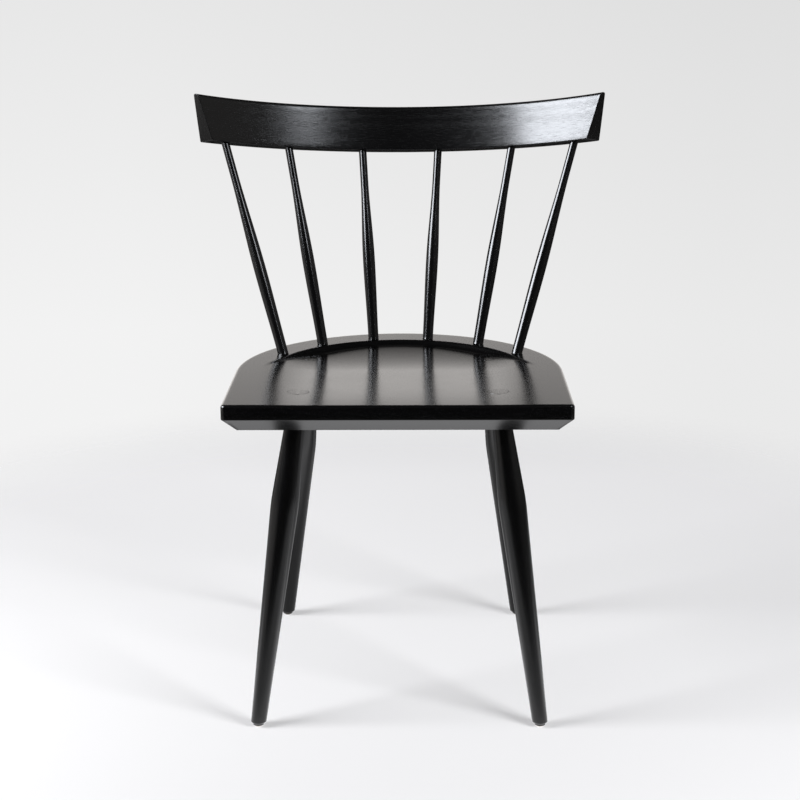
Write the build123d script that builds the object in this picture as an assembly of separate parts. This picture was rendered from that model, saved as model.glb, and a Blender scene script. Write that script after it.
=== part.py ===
from build123d import *
import math
import os

# Low-back spindle chair in black lacquered wood: a carved D-shaped seat on four splayed legs,
# with six turned spindles that carry a bent crest rail.
# Millimetres, +Z up. The chair faces -Y, and left and right are as seen from the front.
# The origin is on the floor, under the middle of the chair's depth.

# Seat
seat_height = 450.0  # top of the deck above the floor
seat_thickness = 38.0
seat_edge_band = 19.5  # upright band round the edge, above the under-bevel
seat_bevel_inset = 19.0  # how far the under-bevel runs in
seat_front_width = 455.0
seat_back_radius = 225.0  # round back of the D
seat_side_length = 187.5  # front edge to the centre of the round back
seat_front_y = -235.0  # front edge, ahead of the origin
seat_corner_radius = 6.0
seat_top_round = 4.0

# Saddle carved in the seat's top
deck_width = 46.0  # flat deck left round the back, where the spindles stand
saddle_front_land = 5.0  # flat strip along the front edge
saddle_slope = 2.25  # degrees that the floor falls behind that strip
saddle_ramp_length = 212.0  # straight fall, before the floor levels out
saddle_floor_radius = 1300.0  # soft hollow at the end of the fall
saddle_floor_half_width = 115.0
saddle_run_out_half_width = 190.0
saddle_wall_slope = 45.0  # degrees, of the wall that climbs to the deck
saddle_lift = 0.15  # keeps the carving's surface off the deck where it runs out
carving_step = 12.0  # spacing of the points that the carving's surface goes through

# Legs
front_socket_inset = 91.0  # front corner to where the leg's axis meets the seat's underside
front_socket_setback = 73.0  # behind the seat's front edge
front_foot_spread = 53.5  # foot outside its socket
front_foot_setback = 10.6
rear_socket_inset = 94.5  # the same, inside the round back's radius
rear_socket_lead = 114.5  # ahead of the seat's back edge
rear_foot_spread = 48.0
rear_foot_overhang = 8.5  # foot behind the seat's back edge
leg_foot_diameter = 20.8
leg_knee_diameter = 37.6
leg_knee_drop = 110.0  # knee below the seat's underside
leg_knee_radius = 300.0  # soft turn of the profile at the knee
leg_top_diameter = 25.4
leg_tenon_diameter = 29.0  # tenon spread by its wedge, at the deck's height
leg_foot_chamfer = 2.4
kerf_depth = 26.0  # saw cut for the wedge, down from the deck's height
wedge_top_thickness = 3.6
wedge_tip_thickness = 1.2
wedge_end_gap = 1.0  # left under the wedge's tip

# Spindles
spindle_inset = 33.0  # spindle circle inside the round back
spindle_pitch_angle = 24.0  # between spindles, round the seat
spindle_foot_diameter = 15.0
spindle_belly_diameter = 17.2
spindle_neck_diameter = 11.3
spindle_belly_height = 135.0  # thickest place above the deck
spindle_neck_length = 46.0  # slim straight end under the crest rail
spindle_foot_tenon = 22.0
spindle_top_tenon = 17.0
socket_end_gap = 1.0

# Crest rail
crest_front_radius = 388.0
crest_lean = 15.4  # degrees back from upright
crest_height = 63.7  # along the lean
crest_bottom_thickness = 28.4
crest_top_thickness = 9.4
crest_overhang = 30.1  # rail's lower front edge behind the seat's back edge
crest_bottom_rise = 268.7  # deck to the rail's lower front edge, at the middle
crest_half_angle = 44.9  # round the bend, to the end cut at mid height
crest_end_flare = 23.0  # degrees that each end leans out towards the top
crest_top_round = 4.0
crest_bottom_round = 1.4
crest_end_round = 0.8
crest_front_wall = 4.6  # wood in front of a spindle's socket
crest_pitch_angle = 16.0  # between spindles, round the rail
crest_outer_pitch_angle = 14.7  # the same, to the outermost spindle

# Glides under the feet
glide_cap_diameter = 12.6
glide_cap_height = 2.6
glide_flat_diameter = 5.0  # flat that stands on the floor
glide_cushion_diameter = 14.4
glide_cushion_height = 2.4
glide_cushion_round = 0.6
nail_diameter = 2.4
nail_length = 19.0
nail_point_length = 4.0
nail_seat_depth = 1.2  # nail's end fixed in the cap

# Fits
glue_gap = 0.1  # between a round tenon and its hole
wedge_gap = 0.05  # between a wedge and its kerf
nail_gap = 0.05
trim_allowance = 14.0  # stock left past a cut

# Levels and places that follow from the sizes above
underside = seat_height - seat_thickness
glide_height = glide_cap_height + glide_cushion_height
bend_centre_y = seat_front_y + seat_side_length
seat_back_y = bend_centre_y + seat_back_radius
gutter_radius = seat_back_radius - deck_width
spindle_circle = seat_back_radius - spindle_inset
carving_sweep = 4 * trim_allowance
front_socket = (seat_front_width / 2 - front_socket_inset, seat_front_y + front_socket_setback)
front_foot = (front_socket[0] + front_foot_spread, seat_front_y + front_foot_setback)
rear_socket = (seat_back_radius - rear_socket_inset, seat_back_y - rear_socket_lead)
rear_foot = (rear_socket[0] + rear_foot_spread, seat_back_y + rear_foot_overhang)


def seat_outline():
    """D-shaped outline with sharp front corners, on the plane Z = 0."""
    half = seat_front_width / 2
    corner_angle = math.atan2(-seat_side_length, half)
    corner_reach = math.hypot(half, seat_side_length)
    touch = corner_angle + math.acos(seat_back_radius / corner_reach)
    side_x = seat_back_radius * math.cos(touch)
    side_y = bend_centre_y + seat_back_radius * math.sin(touch)
    back = (0, seat_back_y)
    edges = [
        Line((-half, seat_front_y), (half, seat_front_y)),
        Line((half, seat_front_y), (side_x, side_y)),
        ThreePointArc((side_x, side_y), back, (-side_x, side_y)),
        Line((-side_x, side_y), (-half, seat_front_y)),
    ]
    return make_face(edges)


def seat_blank():
    """Slab with a mitred under-bevel, rounded front corners and a rounded top edge."""
    outline = seat_outline()
    slab = Pos(0, 0, underside) * extrude(outline, seat_thickness)
    bottom = slab.faces().sort_by(Axis.Z)[0]
    bevel_rise = seat_thickness - seat_edge_band
    slab = chamfer(bottom.edges(), seat_bevel_inset, bevel_rise, reference=bottom)
    corners = outline.vertices().group_by(Axis.Y)[0]
    rounded = Pos(0, 0, underside) * extrude(fillet(corners, seat_corner_radius), seat_thickness)
    blank = slab & rounded
    top = blank.faces().sort_by(Axis.Z)[-1]
    return fillet(top.edges(), seat_top_round)


def smooth_step(share):
    """0 to 1, level at both ends."""
    share = min(max(share, 0.0), 1.0)
    return share * share * (3 - 2 * share)


def scoop_depth(x, setback):
    """Depth of the saddle's floor, without the wall in front of the deck."""
    run = setback - saddle_front_land
    levelling = max(run - saddle_ramp_length, 0.0)
    depth = run * math.tan(math.radians(saddle_slope)) - levelling**2 / (2 * saddle_floor_radius)
    fade = saddle_run_out_half_width - saddle_floor_half_width
    across = 1 - smooth_step((abs(x) - saddle_floor_half_width) / fade)
    return depth * across


def saddle_plug():
    """Solid inside the saddle's sloping wall: round at the back, with straight sides to the front."""
    low = seat_height - trim_allowance
    high = seat_height + carving_sweep
    foot = gutter_radius - trim_allowance / math.tan(math.radians(saddle_wall_slope))
    half = [(0, low), (foot, low), (gutter_radius, seat_height), (gutter_radius, high), (0, high)]
    other_half = [(-x, z) for x, z in reversed(half)]
    section = make_face(Plane.XZ * Polyline(*half, *other_half[1:-1], close=True))
    plug = turned(half) + extrude(section, seat_side_length + trim_allowance)
    return Pos(0, bend_centre_y, 0) * plug


def carving():
    """Solid that the saddle's cutter sweeps out, from the carved surface upwards."""
    half = seat_front_width / 2 + trim_allowance
    front = seat_front_y - trim_allowance
    back = seat_back_y + trim_allowance
    columns = round(2 * half / carving_step)
    rows = round((back - front) / carving_step)
    grid = []
    for row in range(rows + 1):
        y = front + (back - front) * row / rows
        line = []
        for column in range(columns + 1):
            x = half * (2 * column / columns - 1)
            line.append((x, y, seat_height + saddle_lift - scoop_depth(x, y - seat_front_y)))
        grid.append(line)
    surface = Face.make_surface_from_array_of_points(grid)
    return extrude(surface, carving_sweep, dir=(0, 0, 1)) & saddle_plug()


def leg_plane(foot, socket):
    """Frame with its origin at the foot on the floor and +Z up the leg's axis."""
    axis = (Vector(*socket) - Vector(*foot)).normalized()
    return Plane(foot, x_dir=(axis.Z, 0, -axis.X), z_dir=axis)


def turned(points):
    """Solid turned about +Z from a closed profile of (radius, height) points."""
    return revolve(make_face(Plane.XZ * Polyline(*points, close=True)), Axis.Z)


class LegSizes:
    """Heights along one leg's axis, which grow with its slant."""

    def __init__(self, plane):
        slant = plane.z_dir.Z
        self.foot = glide_height / slant
        self.knee = (underside - leg_knee_drop) / slant
        tilt = math.acos(slant)
        self.neck = underside / slant - leg_top_diameter * math.tan(tilt)
        self.mouth = underside / slant
        self.deck = seat_height / slant
        self.end = self.deck + trim_allowance


def tenon_radius(sizes, height):
    """Radius of the spread tenon at a height along the axis."""
    flare = (leg_tenon_diameter - leg_top_diameter) / 2 / (sizes.deck - sizes.mouth)
    return leg_top_diameter / 2 + flare * (height - sizes.mouth)


def leg_body(sizes):
    """Turned leg with its tenon, before the foot and the top are trimmed."""
    foot_radius = leg_foot_diameter / 2
    knee_radius = leg_knee_diameter / 2
    top_radius = leg_top_diameter / 2
    slope = (knee_radius - foot_radius) / (sizes.knee - sizes.foot)
    low = sizes.foot - trim_allowance
    points = [
        (0, low),
        (foot_radius - slope * trim_allowance, low),
        (knee_radius, sizes.knee),
        (top_radius, sizes.neck),
        (top_radius, sizes.mouth),
        (tenon_radius(sizes, sizes.end), sizes.end),
        (0, sizes.end),
    ]
    profile = make_face(Plane.XZ * Polyline(*points, close=True))
    knee = profile.vertices().sort_by_distance((knee_radius, 0, sizes.knee))[0]
    return revolve(fillet(knee, leg_knee_radius), Axis.Z)


def mortise(sizes):
    """Flared hole that the spread tenon fills."""
    low = sizes.neck - trim_allowance
    radius = leg_top_diameter / 2 + glue_gap
    points = [
        (0, low),
        (radius, low),
        (radius, sizes.mouth),
        (tenon_radius(sizes, sizes.end) + glue_gap, sizes.end),
        (0, sizes.end),
    ]
    return turned(points)


def wedge_blank(sizes, gap, tip_gap):
    """Tapered tongue across the tenon; with a gap it is the kerf that takes the wedge."""
    tip = sizes.deck - kerf_depth + tip_gap
    growth = (wedge_top_thickness - wedge_tip_thickness) / kerf_depth
    tip_half = (wedge_tip_thickness + growth * tip_gap) / 2 + gap
    end_half = (wedge_top_thickness + growth * trim_allowance) / 2 + gap
    points = [(-tip_half, tip), (tip_half, tip), (end_half, sizes.end), (-end_half, sizes.end)]
    outline = make_face(Plane.XZ * Polyline(*points, close=True))
    return extrude(outline, leg_tenon_diameter, both=True)


def nail():
    """Shank of a nail-on glide, point up, standing at the cap's seat for it."""
    radius = nail_diameter / 2
    low = glide_cap_height - nail_seat_depth
    shoulder = low + nail_length - nail_point_length
    points = [(0, low), (radius, low), (radius, shoulder), (0, low + nail_length)]
    return turned(points)


def nail_hole(low, high):
    """Drilled hole for the nail, between two heights."""
    return Pos(0, 0, low) * extrude(Circle(nail_diameter / 2 + nail_gap), high - low)


def glide_cap():
    """Domed steel cap with a small flat underneath and a seat for its nail."""
    radius = glide_cap_diameter / 2
    flat = glide_flat_diameter / 2
    edges = [
        Line((0, 0), (flat, 0)),
        TangentArc((flat, 0), (radius, glide_cap_height), tangent=(1, 0)),
        Line((radius, glide_cap_height), (0, glide_cap_height)),
        Line((0, glide_cap_height), (0, 0)),
    ]
    dome = revolve(make_face(Plane.XZ * Curve(edges)), Axis.Z)
    return dome - nail_hole(glide_cap_height - nail_seat_depth, glide_height)


def glide_cushion():
    """Soft ring between the cap and the leg."""
    ring = extrude(Circle(glide_cushion_diameter / 2), glide_cushion_height)
    ring = fillet(ring.edges().sort_by(Axis.Z), glide_cushion_round)
    return Pos(0, 0, glide_cap_height) * ring - nail_hole(0, glide_height)


def crest_plane():
    """Frame at the rail's lower front edge: +X along the rail, +Y back, +Z up the lean."""
    lean = math.radians(crest_lean)
    origin = (0, seat_back_y + crest_overhang, seat_height + crest_bottom_rise)
    return Plane(origin, x_dir=(1, 0, 0), z_dir=(0, math.sin(lean), math.cos(lean)))


def crest_blank():
    """Bent rail in its own frame, thinner towards the top, with flared ends."""
    points = [
        (0, 0),
        (crest_bottom_thickness, 0),
        (crest_top_thickness, crest_height),
        (0, crest_height),
    ]
    section = make_face(Plane.YZ * Polyline(*points, close=True))
    section = fillet(section.vertices().group_by(Axis.Z)[-1], crest_top_round)
    section = fillet(section.vertices().group_by(Axis.Z)[0], crest_bottom_round)
    bend = Axis((0, -crest_front_radius, 0), (0, 0, 1))
    flare = math.radians(crest_end_flare)
    spare = math.degrees(crest_height * math.tan(flare) / crest_front_radius)
    reach = crest_half_angle + spare
    rail = revolve(section.rotate(bend, -reach), bend, 2 * reach)
    middle = crest_height / 2
    for side in (-1, 1):
        turn = math.radians(side * crest_half_angle)
        across = math.sin(turn) * crest_front_radius
        back = (math.cos(turn) - 1) * crest_front_radius
        out = side * math.cos(flare)
        normal = (out * math.cos(turn), -out * math.sin(turn), -math.sin(flare))
        rail = split(rail, Plane((across, back, middle), z_dir=normal), Keep.BOTTOM)
    ends = rail.faces().filter_by(GeomType.PLANE).sort_by(Axis.X)
    return fillet(ends[0].edges() + ends[-1].edges(), crest_end_round)


def spindle_ends(side, place):
    """Axis of one spindle: its points on the deck and under the crest rail."""
    turn = math.radians(side * spindle_pitch_angle * (place + 0.5))
    foot = Vector(
        spindle_circle * math.sin(turn),
        bend_centre_y + spindle_circle * math.cos(turn),
        seat_height,
    )
    bend = crest_pitch_angle * (min(place, 1) + 0.5) + crest_outer_pitch_angle * max(place - 1, 0)
    turn = math.radians(side * bend)
    radius = crest_front_radius + crest_front_wall + spindle_neck_diameter / 2
    local = Vector(radius * math.sin(turn), radius * math.cos(turn) - crest_front_radius, 0)
    return foot, crest_plane().from_local_coords(local)


def spindle_body(length, tilt):
    """Turned spindle: straight tenons, a slim neck and a soft belly."""
    foot = spindle_foot_diameter / 2
    belly = spindle_belly_diameter / 2
    neck = spindle_neck_diameter / 2
    straight = spindle_foot_diameter * math.tan(tilt)
    neck_start = length - spindle_neck_length
    rise = Vector(0, 1)
    low = (0, -spindle_foot_tenon)
    high = (0, length + spindle_top_tenon)
    edges = [
        Line(low, (foot, -spindle_foot_tenon)),
        Line((foot, -spindle_foot_tenon), (foot, straight)),
        Spline(
            (foot, straight),
            (belly, spindle_belly_height),
            (neck, neck_start),
            tangents=[rise, rise],
        ),
        Line((neck, neck_start), (neck, length + spindle_top_tenon)),
        Line((neck, length + spindle_top_tenon), high),
        Line(high, low),
    ]
    return revolve(make_face(Plane.XZ * Curve(edges)), Axis.Z)


def spindle_sockets(length):
    """The two blind holes that take a spindle's tenons."""
    foot_low = -spindle_foot_tenon - socket_end_gap
    foot_hole = extrude(Circle(spindle_foot_diameter / 2 + glue_gap), trim_allowance - foot_low)
    top_depth = spindle_top_tenon + socket_end_gap
    top_hole = extrude(Circle(spindle_neck_diameter / 2 + glue_gap), trim_allowance + top_depth)
    return Pos(0, 0, foot_low) * foot_hole, Pos(0, 0, length - trim_allowance) * top_hole


nodes = {}
nails = []
carved = carving()
seat = seat_blank() - carved
over_deck = Pos(0, 0, seat_height) * extrude(seat_outline(), carving_sweep)

# Legs, their wedges and their glides
for row, (foot_x, foot_y), (socket_x, socket_y) in (
    ("front", front_foot, front_socket),
    ("rear", rear_foot, rear_socket),
):
    for hand, side in (("left", -1), ("right", 1)):
        plane = leg_plane((side * foot_x, foot_y, 0), (side * socket_x, socket_y, underside))
        sizes = LegSizes(plane)
        place = f"{row}_{hand}"
        centre = plane.from_local_coords(Vector(0, 0, sizes.foot))
        stand = Pos(centre.X, centre.Y, 0)

        body = leg_body(sizes)
        tongue = wedge_blank(sizes, 0, wedge_end_gap) & body
        leg = plane * (body - wedge_blank(sizes, wedge_gap, 0)) - carved - over_deck
        leg = split(leg, Plane((0, 0, glide_height)), Keep.TOP)
        sole = leg.faces().sort_by(Axis.Z)[0]
        leg = chamfer(sole.edges(), leg_foot_chamfer)
        leg -= stand * nail_hole(0, glide_height + nail_length)

        nodes[f"leg_{place}"] = leg
        nodes[f"leg_wedge_{place}"] = plane * tongue - carved - over_deck
        nodes[f"glide_cap_{place}"] = stand * glide_cap()
        nodes[f"glide_cushion_{place}"] = stand * glide_cushion()
        nails.append(stand * nail())
        seat -= plane * mortise(sizes)

# Spindles, set in the deck and in the crest rail
crest = crest_plane() * crest_blank()
for hand, side in (("left", -1), ("right", 1)):
    for place, name in enumerate(("inner", "middle", "outer")):
        foot, top = spindle_ends(side, place)
        plane = Plane(foot, z_dir=top - foot)
        length = (top - foot).length
        seat_hole, crest_hole = spindle_sockets(length)
        seat -= plane * seat_hole
        crest -= plane * crest_hole
        tilt = math.acos(plane.z_dir.Z)
        nodes[f"spindle_{hand}_{name}"] = plane * spindle_body(length, tilt)

nodes["seat"] = seat
nodes["crest_rail"] = crest
nodes["glide_nails"] = Compound(children=nails)

os.makedirs("parts", exist_ok=True)
for name, shape in nodes.items():
    export_step(shape, f"parts/{name}.step")
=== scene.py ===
import cmath
import math

import bmesh
import bpy
import numpy as np
from mathutils import Matrix, Vector


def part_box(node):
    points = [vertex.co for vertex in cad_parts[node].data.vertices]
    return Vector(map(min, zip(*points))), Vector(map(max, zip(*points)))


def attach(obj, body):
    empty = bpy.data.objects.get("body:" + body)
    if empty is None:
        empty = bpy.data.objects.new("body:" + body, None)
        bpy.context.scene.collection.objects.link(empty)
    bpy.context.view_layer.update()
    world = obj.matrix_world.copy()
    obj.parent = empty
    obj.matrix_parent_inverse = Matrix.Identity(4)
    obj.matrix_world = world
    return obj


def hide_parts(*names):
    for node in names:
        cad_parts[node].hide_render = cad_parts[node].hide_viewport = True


bl_info = {
    "name": "Low-back chair",
    "version": (1, 0, 0),
    "blender": (4, 5, 0),
    "location": "3D View > Sidebar > Chair",
    "description": "Makes a low-back spindle chair in black lacquered wood and sets it in a studio",
    "category": "Object",
}

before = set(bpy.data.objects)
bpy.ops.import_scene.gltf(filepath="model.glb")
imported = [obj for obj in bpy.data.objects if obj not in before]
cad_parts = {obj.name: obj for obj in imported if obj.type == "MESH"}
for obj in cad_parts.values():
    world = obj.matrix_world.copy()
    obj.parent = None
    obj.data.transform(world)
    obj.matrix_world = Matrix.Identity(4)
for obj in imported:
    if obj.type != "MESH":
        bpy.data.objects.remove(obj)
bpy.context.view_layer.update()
seat_low, seat_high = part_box("seat")
glide_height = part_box("leg_front_left")[0].z

MM = 0.001
BODY = "root"
ROWS = ("front", "rear")
HANDS = {"left": -1, "right": 1}
SPINDLE_PLACES = ("inner", "middle", "outer")
BOARD = "board"  # attribute: where a point lies in its board, in metres, with the grain along X
JOINT_GAP = 0.1 * MM  # round a tenon in its hole
SOCKET_SPARE = 1.0 * MM  # how much deeper a spindle's hole is than its tenon
SAME_POINT = 1e-6  # points nearer than this, in metres, are merged
CRISP_TURN = math.radians(38)  # faces that turn by more meet in a crisp edge
NUMBER_A, NUMBER_B = 2, 3  # a Mix node's inputs for numbers
COLOUR_A, COLOUR_B = 6, 7  # the same for colours
MIXED_COLOUR = 2  # its output for colours
ACROSS = Vector((1, 0, 0))
UP = Vector((0, 0, 1))


def size(name, description, millimetres):
    """Length that a user can change, given here in millimetres."""
    return bpy.props.FloatProperty(
        name=name, description=description, default=millimetres * MM, unit="LENGTH", precision=4
    )


def turn(name, description, degrees):
    """Angle that a user can change, given here in degrees."""
    return bpy.props.FloatProperty(
        name=name, description=description, default=math.radians(degrees), subtype="ANGLE"
    )


def linear(hex_code):
    """Linear RGBA of an sRGB hex colour."""
    channels = [int(hex_code[at : at + 2], 16) / 255 for at in (0, 2, 4)]
    return [c / 12.92 if c <= 0.04045 else ((c + 0.055) / 1.055) ** 2.4 for c in channels] + [1.0]


def tint(name, description, hex_code):
    """Colour that a user can change, given here as sRGB hex."""
    return bpy.props.FloatVectorProperty(
        name=name, description=description, default=linear(hex_code), size=4, subtype="COLOR"
    )


class SeatSizes(bpy.types.PropertyGroup):
    """The seat's slab."""

    height: size("Height", "Top of the deck above the floor", seat_high.z / MM)
    thickness: size("Thickness", "Deck to underside", (seat_high.z - seat_low.z) / MM)
    front_y: size("Front edge", "Front edge, ahead of the origin", seat_low.y / MM)
    front_width: size("Front width", "Width at the sharp front corners", 455.0)
    back_radius: size("Back radius", "Round back of the D", 225.0)
    side_length: size("Side length", "Front edge to the centre of the round back", 187.5)
    corner_radius: size("Corner radius", "Front corners, seen from above", 6.0)
    top_round: size("Top round", "Rounding of the top edge", 4.0)
    edge_band: size("Edge band", "Upright band above the under-bevel", 19.5)
    bevel_inset: size("Bevel inset", "How far the under-bevel runs in", 19.0)
    arris: size("Arris", "Sanded rounding of the lower edges", 1.0)


class SaddleSizes(bpy.types.PropertyGroup):
    """The saddle carved in the seat's top."""

    deck_width: size("Deck width", "Flat deck left round the back", 46.0)
    front_land: size("Front land", "Flat strip along the front edge", 5.0)
    slope: turn("Slope", "How steeply the floor falls behind that strip", 2.25)
    ramp_length: size("Ramp length", "Straight fall, before the floor levels out", 212.0)
    floor_radius: size("Floor radius", "Soft hollow at the end of the fall", 1300.0)
    floor_half_width: size("Floor half width", "Middle to where the floor starts to rise", 115.0)
    run_out_half_width: size("Run-out half width", "Middle to where the floor meets the deck", 190.0)
    wall_slope: turn("Wall slope", "Of the wall that climbs to the deck", 45.0)
    wall_flare: size("Wall flare", "How far the wall's ends swing out to the sides", 13.0)
    flare_reach: size("Flare reach", "Depth over which they swing out", 70.0)
    cove: size("Cove", "Soft hollow at the foot of that wall", 5.0)
    softness: size("Softness", "Sanded rounding of the gutter's edge", 1.6)
    front_roll: size("Front roll", "How far the floor is eased down at the front edge", 0.8)
    roll_reach: size("Roll reach", "Depth over which that easing runs out", 120.0)


class LegSizes(bpy.types.PropertyGroup):
    """The turned legs, with places for the right-hand ones."""

    front_foot_x: size("Front foot", "Middle to where a front leg's axis meets the floor", 190.0)
    front_foot_setback: size("Front foot setback", "Behind the seat's front edge", 10.6)
    front_socket_x: size("Front socket", "Middle to where the axis meets the underside", 136.5)
    front_socket_setback: size("Front socket setback", "Behind the seat's front edge", 73.0)
    rear_foot_x: size("Rear foot", "Middle to where a rear leg's axis meets the floor", 178.5)
    rear_foot_setback: size("Rear foot setback", "Behind the seat's front edge", 421.0)
    rear_socket_x: size("Rear socket", "Middle to where the axis meets the underside", 130.5)
    rear_socket_setback: size("Rear socket setback", "Behind the seat's front edge", 298.0)
    foot_diameter: size("Foot diameter", "At the sole", 20.8)
    knee_diameter: size("Knee diameter", "Thickest place", 37.6)
    knee_drop: size("Knee drop", "Knee below the seat's underside", 110.0)
    knee_radius: size("Knee radius", "Soft turn of the profile at the knee", 300.0)
    top_diameter: size("Top diameter", "Where the leg enters the seat", 25.4)
    tenon_diameter: size("Tenon diameter", "Tenon spread by its wedge, at the deck", 29.0)
    foot_chamfer: size("Foot chamfer", "Eased edge of the sole", 2.4)
    tenon_round: size("Tenon round", "Worn edge of the tenon's end", 0.4)
    tenon_proud: size("Tenon proud", "Tenon's end above the carved seat", 0.12)
    kerf_depth: size("Kerf depth", "Saw cut for the wedge", 26.0)
    kerf_top: size("Kerf top", "Width of the cut at the deck", 3.7)
    kerf_tip: size("Kerf tip", "Width of the cut at its bottom", 1.3)


class SpindleSizes(bpy.types.PropertyGroup):
    """The turned spindles."""

    circle: size("Circle", "Radius of the spindles' feet round the seat", 192.0)
    pitch: turn("Pitch", "Between spindles, round the seat", 24.0)
    crest_pitch: turn("Crest pitch", "Between spindles, round the crest rail", 16.0)
    crest_outer_pitch: turn("Outer pitch", "The same, to the outermost spindle", 14.7)
    foot_diameter: size("Foot diameter", "At the deck", 15.0)
    belly_diameter: size("Belly diameter", "Near the thickest place", 17.2)
    neck_diameter: size("Neck diameter", "Slim straight end", 11.3)
    belly_height: size("Belly height", "Where the belly diameter is measured, above the deck", 135.0)
    neck_length: size("Neck length", "Straight end under the crest rail", 46.0)
    foot_tenon: size("Foot tenon", "Depth in the seat", 22.0)
    top_tenon: size("Top tenon", "Depth in the crest rail", 17.0)
    bead: size("Bead", "Lacquer gathered where a spindle meets the deck", 0.8)


class CrestSizes(bpy.types.PropertyGroup):
    """The bent crest rail."""

    front_radius: size("Front radius", "Bend of the front face", 388.0)
    height: size("Height", "Along the lean", 63.7)
    bottom_thickness: size("Bottom thickness", "Front to back at the lower edge", 28.4)
    top_thickness: size("Top thickness", "Front to back at the upper edge", 9.4)
    setback: size("Setback", "Seat's front edge to the lower front edge", 442.6)
    bottom_rise: size("Bottom rise", "Deck to the lower front edge", 268.7)
    top_front_round: size("Top front round", "Rounding of the upper front edge", 5.2)
    top_back_round: size("Top back round", "Rounding of the upper back edge", 3.6)
    bottom_round: size("Bottom round", "Rounding of the lower edges", 1.4)
    end_round: size("End round", "Rounding round the end faces", 0.8)
    front_wall: size("Front wall", "Wood in front of a spindle's socket", 4.6)
    lean: turn("Lean", "Back from upright", 15.4)
    half_angle: turn("Half angle", "Round the bend, to the end cut at mid height", 44.9)
    end_flare: turn("End flare", "How far each end leans out towards the top", 23.0)


class FinishTints(bpy.types.PropertyGroup):
    """Colours of the finishes and of the studio."""

    lacquer: tint("Lacquer", "Black lacquer over the wood", "070708")
    pore: tint("Pore", "Lacquer sunk in the open pores", "030303")
    nickel: tint("Nickel", "Plated glide caps", "cfcac2")
    rubber: tint("Rubber", "Glide cushions", "161616")
    steel: tint("Steel", "Drawn nail wire", "8b8c90")
    floor: tint("Floor", "Studio floor", "f1f1f3")
    backdrop: tint("Backdrop", "Studio paper behind the chair", "e9e9e9")
    glow: tint("Glow", "The same paper as the lacquer mirrors it", "ede9e6")
    daylight: tint("Daylight", "Cool light of the softboxes", "f4f8ff")


class ChairSettings(bpy.types.PropertyGroup):
    """Everything that the operators read."""

    seat: bpy.props.PointerProperty(type=SeatSizes, name="Seat", description="Slab")
    saddle: bpy.props.PointerProperty(type=SaddleSizes, name="Saddle", description="Carving")
    legs: bpy.props.PointerProperty(type=LegSizes, name="Legs", description="Turned legs")
    spindles: bpy.props.PointerProperty(type=SpindleSizes, name="Spindles", description="Turned spindles")
    crest: bpy.props.PointerProperty(type=CrestSizes, name="Crest rail", description="Bent rail")
    tints: bpy.props.PointerProperty(type=FinishTints, name="Tints", description="Colours")


# Shapes that several pieces share


def rounded(points, radii, steps=6):
    """Open outline of complex points, with each inner corner turned into an arc of its radius."""
    path = [points[0]]
    for before, corner, after, radius in zip(points, points[1:], points[2:], radii):
        if not radius:
            path.append(corner)
            continue
        back = (before - corner) / abs(before - corner)
        ahead = (after - corner) / abs(after - corner)
        half = abs(cmath.phase(ahead / back)) / 2
        reach = radius / math.tan(half)
        middle = (back + ahead) / abs(back + ahead)
        centre = corner + middle * radius / math.sin(half)
        arm = corner + back * reach - centre
        end_arm = corner + ahead * reach - centre
        path += [centre + arm * (end_arm / arm) ** (step / steps) for step in range(steps + 1)]
    return path + [points[-1]]


def spread(start, end, count):
    """Evenly spaced values from start up to, and without, end."""
    return list(np.linspace(start, end, count, endpoint=False))


def add(tree, kind, settings=None, inputs=None):
    """Adds a node; an input is a value, a socket or a node whose first output feeds it."""
    node = tree.nodes.new(kind)
    for name, value in (settings or {}).items():
        setattr(node, name, value)
    for key, value in (inputs or {}).items():
        if isinstance(value, bpy.types.Node):
            value = value.outputs[0]
        if isinstance(value, bpy.types.NodeSocket):
            tree.links.new(value, node.inputs[key])
        else:
            node.inputs[key].default_value = value
    return node


def new_piece(name, mesh):
    """Object for a mesh whose points are already in place."""
    piece = bpy.data.objects.new(name, mesh)
    bpy.context.scene.collection.objects.link(piece)
    return piece


def bake(piece):
    """Turns a piece with modifiers into a plain mesh."""
    graph = bpy.context.evaluated_depsgraph_get()
    mesh = bpy.data.meshes.new_from_object(piece.evaluated_get(graph))
    rough = piece.data
    piece.modifiers.clear()
    piece.data = mesh
    bpy.data.meshes.remove(rough)


def discard(piece):
    """Removes a helper object with its data."""
    data = piece.data
    bpy.data.objects.remove(piece)
    if isinstance(data, bpy.types.Mesh):
        bpy.data.meshes.remove(data)
    else:
        bpy.data.curves.remove(data)


def clean(mesh):
    """Merges doubled points, drops faces without area and turns every face outwards."""
    shape = bmesh.new()
    shape.from_mesh(mesh)
    bmesh.ops.remove_doubles(shape, verts=shape.verts, dist=SAME_POINT)
    bmesh.ops.dissolve_degenerate(shape, edges=shape.edges, dist=SAME_POINT)
    bmesh.ops.recalc_face_normals(shape, faces=shape.faces)
    for face in shape.faces:
        face.smooth = True
    shape.to_mesh(mesh)
    shape.free()


def ring_mesh(name, rings):
    """Closed skin through a stack of rings with equal counts; one-point rings are its poles."""
    points = []
    faces = []
    starts = []
    for ring in rings:
        starts.append(len(points))
        points += [tuple(point) for point in ring]
    count = max(len(ring) for ring in rings)
    for low, high, low_ring, high_ring in zip(starts, starts[1:], rings, rings[1:]):
        for at in range(count):
            ahead = (at + 1) % count
            if len(low_ring) == 1:
                faces.append((low, high + ahead, high + at))
            elif len(high_ring) == 1:
                faces.append((low + at, low + ahead, high))
            else:
                faces.append((low + at, low + ahead, high + ahead, high + at))
    mesh = bpy.data.meshes.new(name)
    mesh.from_pydata(points, [], faces)
    clean(mesh)
    return mesh


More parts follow.
